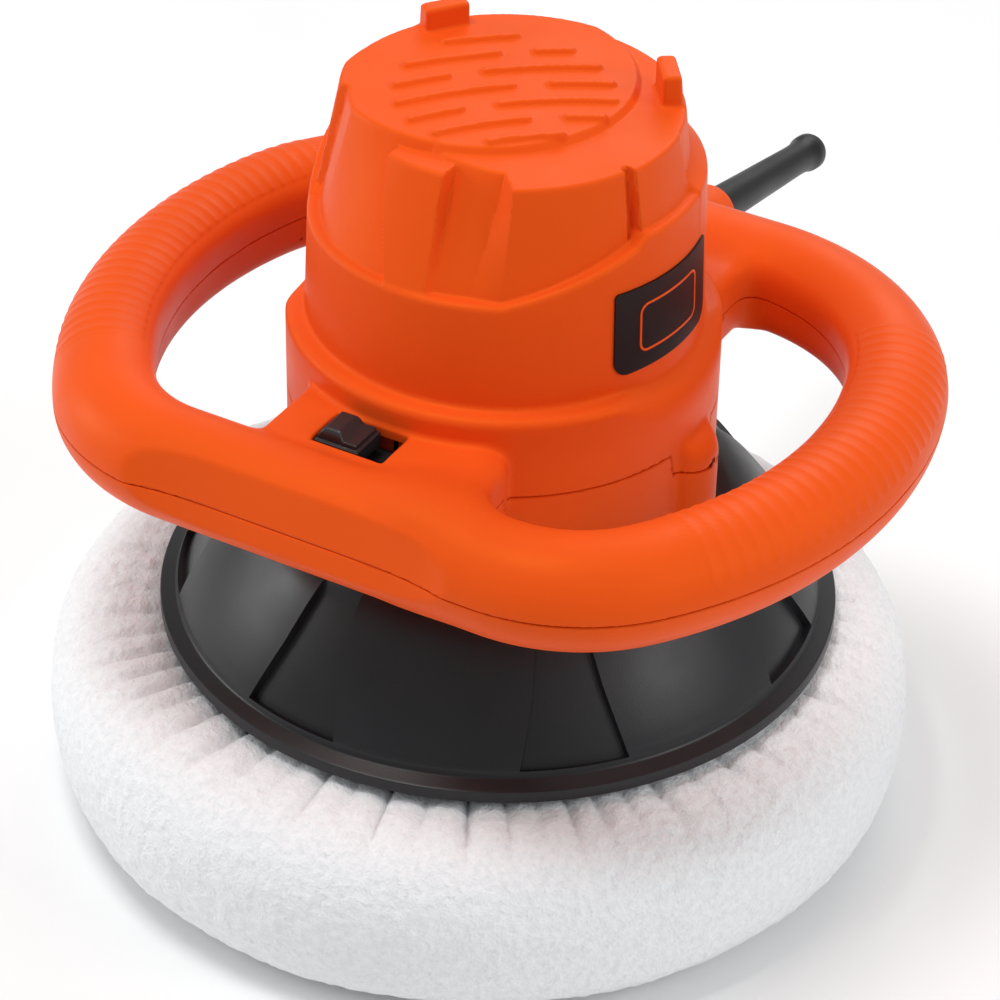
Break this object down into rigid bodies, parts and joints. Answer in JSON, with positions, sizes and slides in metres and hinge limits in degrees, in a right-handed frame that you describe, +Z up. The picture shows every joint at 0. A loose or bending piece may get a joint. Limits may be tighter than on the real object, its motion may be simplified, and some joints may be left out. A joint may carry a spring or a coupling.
{
  "type": "orbital car polisher",
  "caption": "Ten inch orbital car polisher: a motor tower in a handle ring drives a round pad in a terry bonnet through an eccentric hub; a slide switch turns it on.",
  "frame": {"origin": "on the floor under the motor shaft's axis, the polisher lying on its bonnet", "axes": "+Z up along the motor shaft, -Y to the front with the switch, +Y to the cord guard, X across the handle ring"},
  "size_m": [0.2539, 0.3328, 0.229],
  "materials": {
    "orange_abs": "satin moulded",
    "black_abs": "satin moulded",
    "switch_black": "satin moulded",
    "guard_pvc": "satin",
    "badge_film": "printed film",
    "terry_white": "cotton terry pile",
    "elastic_white": "braided",
    "foam_grey": "open cell foam",
    "plate_black": "moulded",
    "inner_nylon": "moulded",
    "fan_nylon": "moulded",
    "boot_rubber": "matt",
    "bright_steel": "ground",
    "bearing_steel": "ground",
    "laminations": "stacked sheets",
    "enamelled_copper": "wound wire",
    "commutator_copper": "turned",
    "brass_plain": "stamped",
    "carbon_block": "pressed carbon",
    "spring_steel": "drawn",
    "zinc_casting": "die cast",
    "screw_zinc": "zinc plated",
    "capacitor_film": "epoxy",
    "lead_pvc": "extruded"
  },
  "bodies": {
    "housing": {"badge": "badge_film", "bearing_boot": "boot_rubber", "body_screws": "screw_zinc", "brush_holders": "brass_plain", "brush_springs": "spring_steel", "capacitor": "capacitor_film", "carbon_brushes": "carbon_block", "clamp_screws": "screw_zinc", "cord_clamp": "inner_nylon", "cord_guard": "guard_pvc", "field_coils": "enamelled_copper", "lower_bearing_balls": "bearing_steel", "lower_bearing_outer": "bearing_steel", "lower_housing": "orange_abs", "motor_bracket": "inner_nylon", "motor_leads": "lead_pvc", "ring_screws": "screw_zinc", "skirt": "black_abs", "skirt_screws": "screw_zinc", "stator_core": "laminations", "stator_screws": "screw_zinc", "switch_body": "switch_black", "upper_bearing_balls": "bearing_steel", "upper_bearing_outer": "bearing_steel", "upper_housing": "orange_abs"},
    "rotor": {"motor_shaft": "bright_steel", "armature_core": "laminations", "armature_winding": "enamelled_copper", "commutator": "commutator_copper", "cooling_fan": "fan_nylon", "eccentric_hub": "zinc_casting", "hub_grub_screw": "bright_steel", "counterweight": "zinc_casting", "pad_bearing_circlip": "bright_steel", "pad_bearing_outer": "bearing_steel", "pad_bearing_balls": "bearing_steel", "upper_bearing_inner": "bearing_steel", "lower_bearing_inner": "bearing_steel"},
    "pad": {"bonnet": "terry_white", "foam_pad": "foam_grey", "backing_plate": "plate_black", "pad_bolt": "bright_steel", "pad_spacer": "bright_steel", "pad_nut": "bright_steel", "bonnet_elastic": "elastic_white", "pad_bearing_inner": "bearing_steel"},
    "switch": {"switch_knob": "switch_black"}
  },
  "joints": [
    {"name": "rotor_spin", "type": "hinge", "parent": "housing", "child": "rotor", "pos_m": [0, 0, 0.15], "axis": [0, 0, 1], "continuous": true},
    {"name": "pad_spin", "type": "hinge", "parent": "rotor", "child": "pad", "pos_m": [-0.00441, -0.00235, 0.07], "axis": [0, 0, 1], "continuous": true},
    {"name": "switch_slide", "type": "slide", "parent": "housing", "child": "switch", "axis": [1, 0, 0], "range_m": [0, 0.0075]}
  ]
}
